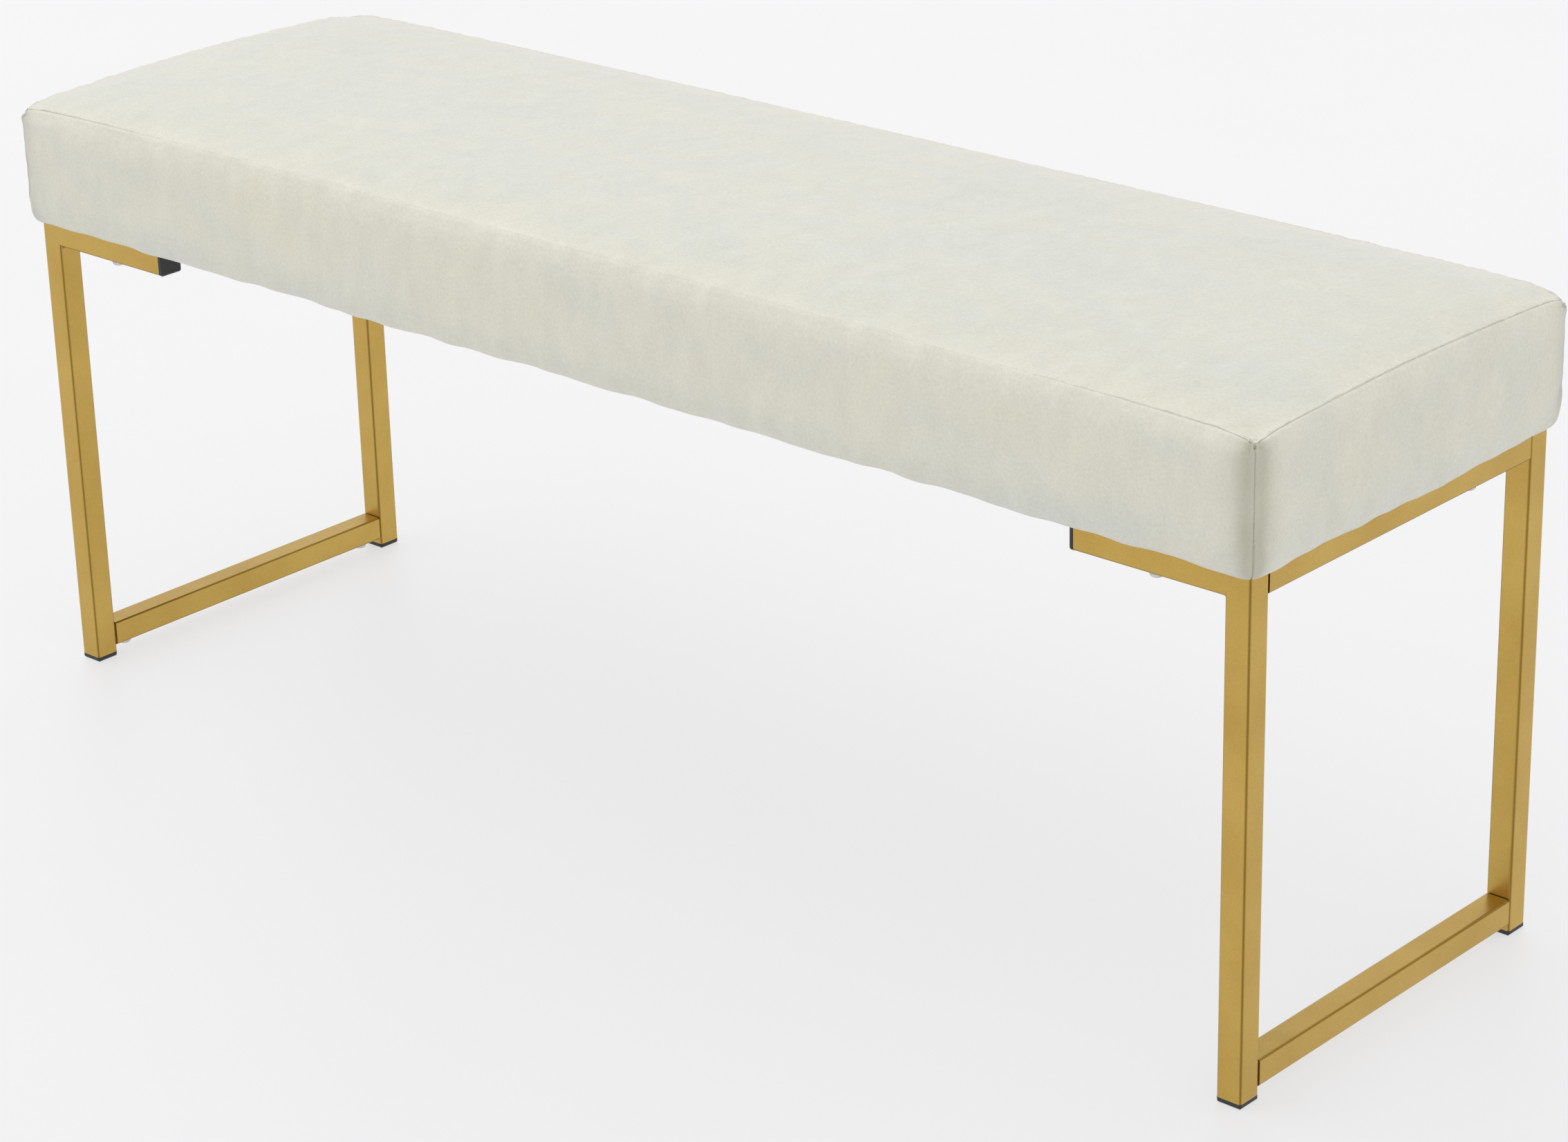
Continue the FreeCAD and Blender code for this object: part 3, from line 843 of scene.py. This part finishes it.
def linesPiece(name, lines):  # lines are pairs of points and outward directions
    points, outward, edges = [], [], []
    for run, out in lines:
        start = len(points)
        points += list(run)
        outward += list(out)
        edges += [(k, k + 1) for k in range(start, len(points) - 1)]
    piece = meshPiece(name, points, [])
    piece.data.clear_geometry()
    piece.data.from_pydata([tuple(p) for p in points], edges, [])
    layer = piece.data.attributes.new("outward", "FLOAT_VECTOR", "POINT")
    layer.data.foreach_set("vector", np.array(outward, np.float32).ravel())
    return piece


followLine = alongTree()
fillPlaces = placesTree()


def bentWire(name, centres, radius, sides):
    # A short wire through the given points in the XZ plane, closed at both ends
    points, faces = [], []
    for k, (cx, cz) in enumerate(centres):
        before, after = centres[max(k - 1, 0)], centres[min(k + 1, len(centres) - 1)]
        along = Vector((after[0] - before[0], 0, after[1] - before[1])).normalized()
        across = Vector((along.z, 0, -along.x))
        for s in range(sides):
            a = math.tau * s / sides
            around = across * math.cos(a) + Vector((0, 1, 0)) * math.sin(a)
            points.append(Vector((cx, 0, cz)) + radius * around)
    for k in range(len(centres) - 1):
        for s in range(sides):
            a, b = k * sides + s, k * sides + (s + 1) % sides
            faces.append((a, b, b + sides, a + sides))
    last = (len(centres) - 1) * sides
    faces.append(tuple(reversed(range(sides))))
    faces.append(tuple(range(last, last + sides)))
    return facingOut(meshPiece(name, points, faces))


thread = {"pitch": 3.3, "stitch": 2.6, "radius": 0.18, "rise": 0.2, "sink": 0.35, "uneven": 0.1}  # mm


def makeSeamThread():
    # Lock stitches seen down in the seams
    t = thread
    arch = [(-t["stitch"] / 2, -t["rise"]), (-t["stitch"] / 5, t["rise"] / 2),
            (t["stitch"] / 5, t["rise"] / 2), (t["stitch"] / 2, -t["rise"])]
    stitch = bentWire("stitch", [(x * mm, z * mm) for x, z in arch], t["radius"] * mm, 5)
    lines = [(points - out * t["sink"] * mm, out) for points, out in seams]
    return grow(linesPiece("seam_thread", lines), followLine, Piece=stitch, Pitch=t["pitch"] * mm,
                Turn=0.0, Uneven=t["uneven"], Seed=4, Material=materials["thread"])


seamThread = makeSeamThread()
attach(seamThread, "root")
print("seam thread:", len(seamThread.data.polygons), "faces")


# Dust cover and its staples

dustCover = {  # millimetres
    "step": 7.0,
    "thickness": 0.45,
    "sag": 1.6,
    "sagReach": 110.0,         # from the edge in to the full sag
    "wave": 0.5,
    "waveSize": 90.0,
    "pucker": 0.35,            # between staples
    "puckerReach": 14.0,
    "clearance": 0.02,         # under the board
}

staple = {  # millimetres
    "pitch": 42.0,
    "width": 9.0,
    "wire": 0.45,              # radius
    "leg": 1.2,
    "bend": 0.6,
    "inset": 6.0,
    "cornerGap": 14.0,
    "uneven": 0.2,             # radians by which each is turned at most
}
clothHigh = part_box("dust_cover")[1]


def makeDustCover():
    d = dustCover
    sizeX, sizeY = clothHigh.x / mm, clothHigh.y / mm
    countX, countY = round(2 * sizeX / d["step"]), round(2 * sizeY / d["step"])
    gx, gy = np.meshgrid(np.linspace(-sizeX, sizeX, countX + 1), np.linspace(-sizeY, sizeY, countY + 1),
                         indexing="ij")
    edge = np.minimum(sizeX - np.abs(gx), sizeY - np.abs(gy))
    middle = smoothStep(edge, staple["inset"], d["sagReach"])
    along = np.where(sizeX - np.abs(gx) < sizeY - np.abs(gy), gy, gx)
    pucker = d["pucker"] * np.cos(math.tau * along / staple["pitch"]) * np.exp(-edge / d["puckerReach"])
    points = np.stack([gx * mm, gy * mm, np.full_like(gx, clothHigh.z)], -1).reshape(-1, 3)
    wave = d["wave"] * noiseAt(points, d["waveSize"], (2, 6, 6)).reshape(gx.shape) * middle
    points[:, 2] -= ((d["sag"] * middle + np.abs(pucker) + wave) * mm).ravel()
    points[:, 2] = np.minimum(points[:, 2], clothHigh.z - d["clearance"] * mm)
    faces = []
    for i in range(countX):
        for j in range(countY):
            a = i * (countY + 1) + j
            faces.append((a, a + 1, a + countY + 2, a + countY + 1))
    piece = meshPiece("dust_cloth", points, faces)
    wall = piece.modifiers.new("wall", "SOLIDIFY")
    wall.thickness = d["thickness"] * mm
    wall.offset = 1
    applied(piece)
    piece.data.materials.append(materials["dust_cloth"])
    return piece


def makeStaples():
    s = staple
    half, leg, bend = s["width"] / 2, s["leg"], s["bend"]
    crown = [(-half, -leg), (-half, -bend), (-half + bend, 0), (half - bend, 0), (half, -bend), (half, -leg)]
    model = bentWire("staple", [(x * mm, z * mm) for x, z in crown], s["wire"] * mm, 6)
    x, y = (clothHigh.x / mm - s["inset"]) * mm, (clothHigh.y / mm - s["inset"]) * mm
    z = clothHigh.z - (dustCover["thickness"] + s["wire"] * 0.8) * mm
    corners = [Vector((sx * x, sy * y, z)) for sx, sy in ((-1, -1), (1, -1), (1, 1), (-1, 1))]
    lines = []
    for k in range(4):
        a, b = corners[k], corners[(k + 1) % 4]
        inward = (b - a).normalized() * s["cornerGap"] * mm
        run = [a + inward, b - inward]
        lines.append((run, [(0, 0, -1)] * 2))
    return grow(linesPiece("cloth_staples", lines), followLine, Piece=model, Pitch=s["pitch"] * mm,
                Turn=0.0, Uneven=s["uneven"], Seed=11, Material=materials["zinc_nut"])


dustCloth = makeDustCover()
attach(dustCloth, "root")
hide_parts("dust_cover")
staples = makeStaples()
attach(staples, "root")


# Screws: round heads with a hexagon socket, threaded shanks

screw = {  # millimetres; the head's width and the length come from the CAD node
    "diameter": 6.0,
    "head": 3.6,
    "roundness": 0.6,
    "socket": 4.0,
    "socketDepth": 1.8,
    "domeAngles": (22, 34, 46, 58, 70, 80, 90),   # degrees from the socket's rim out to the washer
    "washer": 1.6,
    "washerWidth": 12.4,
    "chamfer": 0.2,            # at the washer's rim and the socket's mouth
    "threadPitch": 1.0,
    "threadDepth": 0.45,
    "sides": 36,
}


def screwModel(length, headWidth):
    # Turned about Z, head down on its washer; the socket's ring follows a hexagon
    s = screw
    sides = s["sides"]
    turn = [math.tau * k / sides for k in range(sides)]
    hexagon = [s["socket"] / 2 / math.cos((a + math.pi / 6) % (math.pi / 3) - math.pi / 6) for a in turn]
    lowest = -s["head"] - s["washer"]
    floor = lowest + s["socketDepth"]
    rings = [([0.55 * h for h in hexagon], floor), (hexagon, floor), (hexagon, lowest + 0.15),
             ([h + s["chamfer"] for h in hexagon], lowest)]
    for angle in s["domeAngles"]:
        a = math.radians(angle)
        radius = headWidth / 2 * math.sin(a) ** s["roundness"]
        rings.append(([radius] * sides, -s["washer"] - s["head"] * max(math.cos(a), 0) ** s["roundness"]))
    outer, inner, chamfer = s["washerWidth"] / 2, s["diameter"] / 2, s["chamfer"]
    for radius, z in ((outer - chamfer, -s["washer"]), (outer, chamfer - s["washer"]), (outer, 0.0),
                      (inner, 0.0)):
        rings.append(([radius] * sides, z))
    steps = round(length / s["threadPitch"] * 4)
    for k in range(1, steps + 1):
        z = length * k / steps
        cut = [abs(((z / s["threadPitch"] - a / math.tau) % 1) * 2 - 1) for a in turn]
        fade = min(1.0, (length - z) / 1.5 + 0.4)
        rings.append(([(s["diameter"] / 2 - s["threadDepth"] * c) * fade for c in cut], z))
    points = [(r * mm * math.cos(a), r * mm * math.sin(a), z * mm)
              for ring, z in rings for r, a in zip(ring, turn)]
    faces = [tuple(reversed(range(sides)))]
    for k in range(len(rings) - 1):
        for i in range(sides):
            a, b = k * sides + i, k * sides + (i + 1) % sides
            faces.append((a, b, b + sides, a + sides))
    faces.append(tuple(range((len(rings) - 1) * sides, len(rings) * sides)))
    return facingOut(meshPiece("screwModel", points, faces))


def solidBoxes(name):  # the lowest and highest corner of each loose part of a CAD node
    mesh = bmesh.new()
    mesh.from_mesh(nodes[name].data)
    bmesh.ops.remove_doubles(mesh, verts=mesh.verts, dist=weldDistance)
    left, found = set(mesh.verts), []
    while left:
        stack, part = [left.pop()], []
        while stack:
            vert = stack.pop()
            part.append(vert.co.copy())
            for edge in vert.link_edges:
                other = edge.other_vert(vert)
                if other in left:
                    left.remove(other)
                    stack.append(other)
        low = Vector([min(p[k] for p in part) for k in range(3)])
        high = Vector([max(p[k] for p in part) for k in range(3)])
        found.append((low, high))
    mesh.free()
    return sorted(found, key=lambda box: (round(box[0].x, 4), round(box[0].y, 4)))


def makeScrews(name, node, bearing, seed):  # bearing is the node whose lower face the heads press on
    boxes = solidBoxes(node)
    low, high = boxes[0]
    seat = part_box(bearing)[0].z
    model = screwModel((high.z - seat) / mm, (high.x - low.x) / mm)
    centres = [(a + b) / 2 for a, b in boxes]
    piece = meshPiece(name, [(c.x, c.y, seat) for c in centres], [])
    grow(piece, fillPlaces, Piece=model, Seed=seed, Material=materials["nickel_screw"])
    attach(piece, "root")
    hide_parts(node)
    print(name + ":", len(boxes), "screws")


makeScrews("seat_screws", "seat_bolts", "top_rail_left", 3)
makeScrews("stretcher_screws", "stretcher_bolts", "lower_stretcher_left", 8)


# CAD nodes that stay: each takes the material of its slot

for part in frame["record"]["subparts"]:
    material = materials.get(part["material_slot"])
    if material:
        node = nodes[part["node"]]
        node.data.materials.clear()
        node.data.materials.append(material)
print("frame painted")


# Floor, light and camera

studio = {
    "floor": "#7C7C7D",
    "floorShade": "#78787A",
    "floorHalf": 9.0,          # m
    "floorGlow": 0.65,         # the white floor's own light, which keeps shadows faint
    "wall": "#FFFFFF",
    "wallStrength": 0.91,
    "lamps": {                 # watts, width and place in metres
        "keyLight": (18.0, 2.4, (-0.8, -0.6, 3.0)),
        "fillLight": (2.5, 2.0, (3.0, -1.2, 1.6)),
    },
    "aim": (0, 0, 0.3),
}
photoWidth = 2268   # pixels
viewpoint = {  # fitted to the photo: pixels, degrees and millimetres
    "focal": 6122.7,
    "yaw": 42.482,
    "pitch": 22.501,
    "roll": -1.482,
    "place": (2010.1, -2147.8, 1392.3),
}


def makeStudio():
    side = studio["floorHalf"]
    corners = [(-side, -side, 0), (side, -side, 0), (side, side, 0), (-side, side, 0)]
    floor = meshPiece("studio_floor", corners, [(0, 1, 2, 3)])
    material, tree, shader = newMaterial("litFloor")
    place = addNode(tree, "ShaderNodeTexCoord").outputs["Object"]
    tone = mottled(tree, place, 900.0, 0.0, 1.0)
    grey = blendColours(tree, tone, linear(studio["floor"]), linear(studio["floorShade"]))
    tree.links.new(grey, shader.inputs["Base Color"])
    setShader(shader, Roughness=0.5, Emission_Strength=studio["floorGlow"], Emission_Color=linear("#FEFEFF"))
    floor.data.materials.append(material)
    world = bpy.data.worlds.new("studio")
    world.use_nodes = True
    background = world.node_tree.nodes["Background"]
    background.inputs["Color"].default_value = linear(studio["wall"])
    background.inputs["Strength"].default_value = studio["wallStrength"]
    bpy.context.scene.world = world
    for name, (power, size, place) in studio["lamps"].items():
        light = bpy.data.lights.new(name, "AREA")
        light.energy, light.size = power, size
        lamp = bpy.data.objects.new(name, light)
        lamp.location = place
        lamp.rotation_euler = (Vector(studio["aim"]) - Vector(place)).to_track_quat("-Z", "Y").to_euler()
        bpy.context.scene.collection.objects.link(lamp)
    bpy.context.scene.view_settings.view_transform = "Standard"


def makeCamera():
    yaw, pitch, roll = (math.radians(viewpoint[k]) for k in ("yaw", "pitch", "roll"))
    back = Vector((math.sin(yaw) * math.cos(pitch), -math.cos(yaw) * math.cos(pitch), math.sin(pitch)))
    level = Vector((math.cos(yaw), math.sin(yaw), 0))
    rise = back.cross(level)
    right = math.cos(roll) * level + math.sin(roll) * rise
    up = math.cos(roll) * rise - math.sin(roll) * level
    data = bpy.data.cameras.new("camera")
    data.sensor_width = 36.0
    data.lens = viewpoint["focal"] / photoWidth * data.sensor_width
    camera = bpy.data.objects.new("camera", data)
    turned = Matrix((right, up, back)).transposed().to_4x4()
    camera.matrix_world = Matrix.Translation(Vector(viewpoint["place"]) * mm) @ turned
    bpy.context.scene.collection.objects.link(camera)
    bpy.context.scene.camera = camera


makeStudio()
makeCamera()
print("studio ready")
